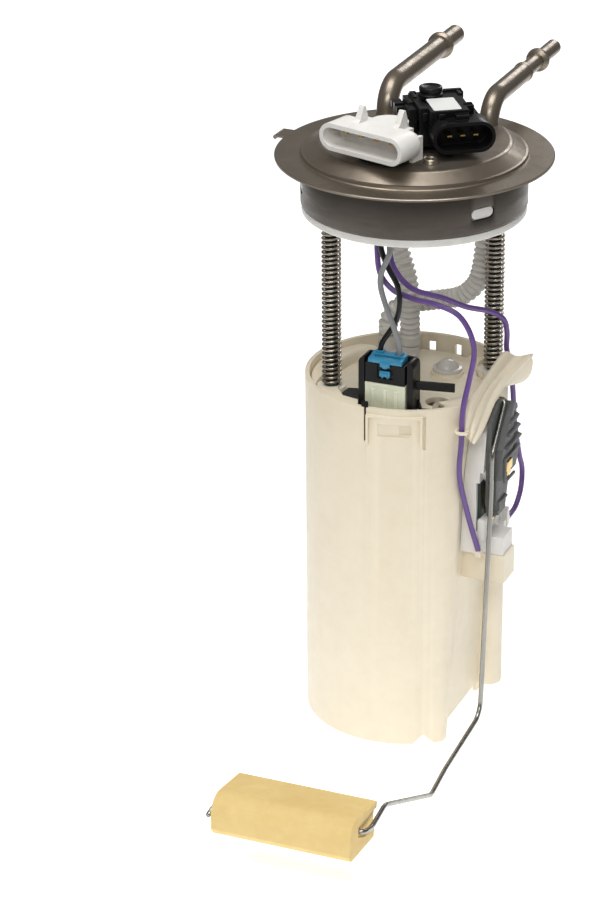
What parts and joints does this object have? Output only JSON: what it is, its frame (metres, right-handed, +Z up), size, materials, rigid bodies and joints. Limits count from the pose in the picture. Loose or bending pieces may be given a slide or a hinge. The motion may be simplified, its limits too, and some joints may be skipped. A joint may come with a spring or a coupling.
{
  "type": "fuel pump module",
  "caption": "In-tank electric fuel pump module: steel cover with tube stubs and sockets, sprung guide rods, sliding plastic reservoir and a float level sender.",
  "frame": {"origin": "centre of the flange on the face that seats on the tank", "axes": "+Z up out of the tank, along the guide rods; +X towards the reservoir's flat side with the level sender; +Y the way the tube stubs run"},
  "size_m": [0.1441, 0.3405, 0.3377],
  "materials": {
    "zinc_steel": "satin",
    "bright_steel": "brushed",
    "spring_steel": "satin",
    "white_nylon": "matte",
    "cream_acetal": "satin",
    "clear_nylon": "satin",
    "black_plastic": "satin",
    "gray_plastic": "matte",
    "blue_plastic": "gloss",
    "pale_header": "satin",
    "black_rubber": "matte",
    "blade_brass": "satin",
    "copper": "satin",
    "carbon": "matte",
    "ferrite": "matte",
    "wire_black": "satin",
    "wire_gray": "satin",
    "wire_purple": "satin",
    "float_foam": "matte",
    "strainer_mesh": "woven",
    "card_dark": "satin"
  },
  "bodies": {
    "flange": {"cover_plate": "zinc_steel", "cover_skirt": "zinc_steel", "carrier_ring": "white_nylon", "supply_tube": "zinc_steel", "return_tube": "zinc_steel", "connector_shell": "white_nylon", "connector_gasket": "black_rubber", "connector_blades": "blade_brass", "sensor_body": "black_plastic", "sensor_cap": "black_plastic", "sensor_blades": "blade_brass", "sensor_clip": "black_plastic", "sensor_grommet": "black_rubber", "cover_rivets": "zinc_steel", "guide_rod_left": "bright_steel", "guide_rod_right": "bright_steel", "rod_clips": "bright_steel", "spring_left": "spring_steel", "spring_right": "spring_steel", "supply_hose": "clear_nylon", "return_hose": "clear_nylon", "wire_black": "wire_black", "wire_gray": "wire_gray", "wire_purple_front": "wire_purple", "wire_purple_back": "wire_purple"},
    "reservoir": {"reservoir_can": "cream_acetal", "cable_guard": "cream_acetal", "pump_retainer": "cream_acetal", "rod_bushings": "white_nylon", "valve_cap": "clear_nylon", "supply_fitting": "clear_nylon", "return_fitting": "clear_nylon", "wiring_bracket": "black_plastic", "pump_header": "pale_header", "pump_plug": "black_plastic", "plug_lock": "blue_plastic", "pump_sleeve": "cream_acetal", "pump_shell": "bright_steel", "pump_inlet_cover": "black_plastic", "pump_outlet_cover": "black_plastic", "pump_magnets": "ferrite", "pump_brushes": "carbon", "isolator_top": "black_rubber", "isolator_bottom": "black_rubber", "inlet_strainer": "strainer_mesh", "foot_valve": "black_rubber", "sender_housing": "white_nylon", "sender_card": "card_dark", "sender_terminals": "blade_brass"},
    "pump_rotor": {"armature": "copper", "pump_shaft": "bright_steel", "commutator": "copper", "impeller": "gray_plastic"},
    "check_valve": {"check_poppet": "black_rubber"},
    "float_arm": {"sender_rotor": "gray_plastic", "pivot_clip": "blade_brass", "wiper_contact": "blade_brass", "float_arm_wire": "bright_steel", "float": "float_foam"}
  },
  "joints": [
    {"name": "reservoir_slide", "type": "slide", "parent": "flange", "child": "reservoir", "axis": [0, 0, 1], "range_m": [0, 0.04], "stiffness_N_per_m": 250, "springref_m": -0.03, "deforming": ["spring_left", "spring_right", "supply_hose", "return_hose", "wire_black", "wire_gray", "wire_purple_front", "wire_purple_back"]},
    {"name": "float_swing", "type": "hinge", "parent": "reservoir", "child": "float_arm", "pos_m": [0, -0.011, -0.154], "axis": [-1, 0, 0], "range_deg": [0, 65]},
    {"name": "rotor_spin", "type": "hinge", "parent": "reservoir", "child": "pump_rotor", "pos_m": [-0.002, -0.0008, -0.23], "axis": [0, 0, 1], "continuous": true},
    {"name": "check_lift", "type": "slide", "parent": "reservoir", "child": "check_valve", "axis": [0, 0, 1], "range_m": [0, 0.002], "stiffness_N_per_m": 30, "springref_m": -0.002}
  ]
}
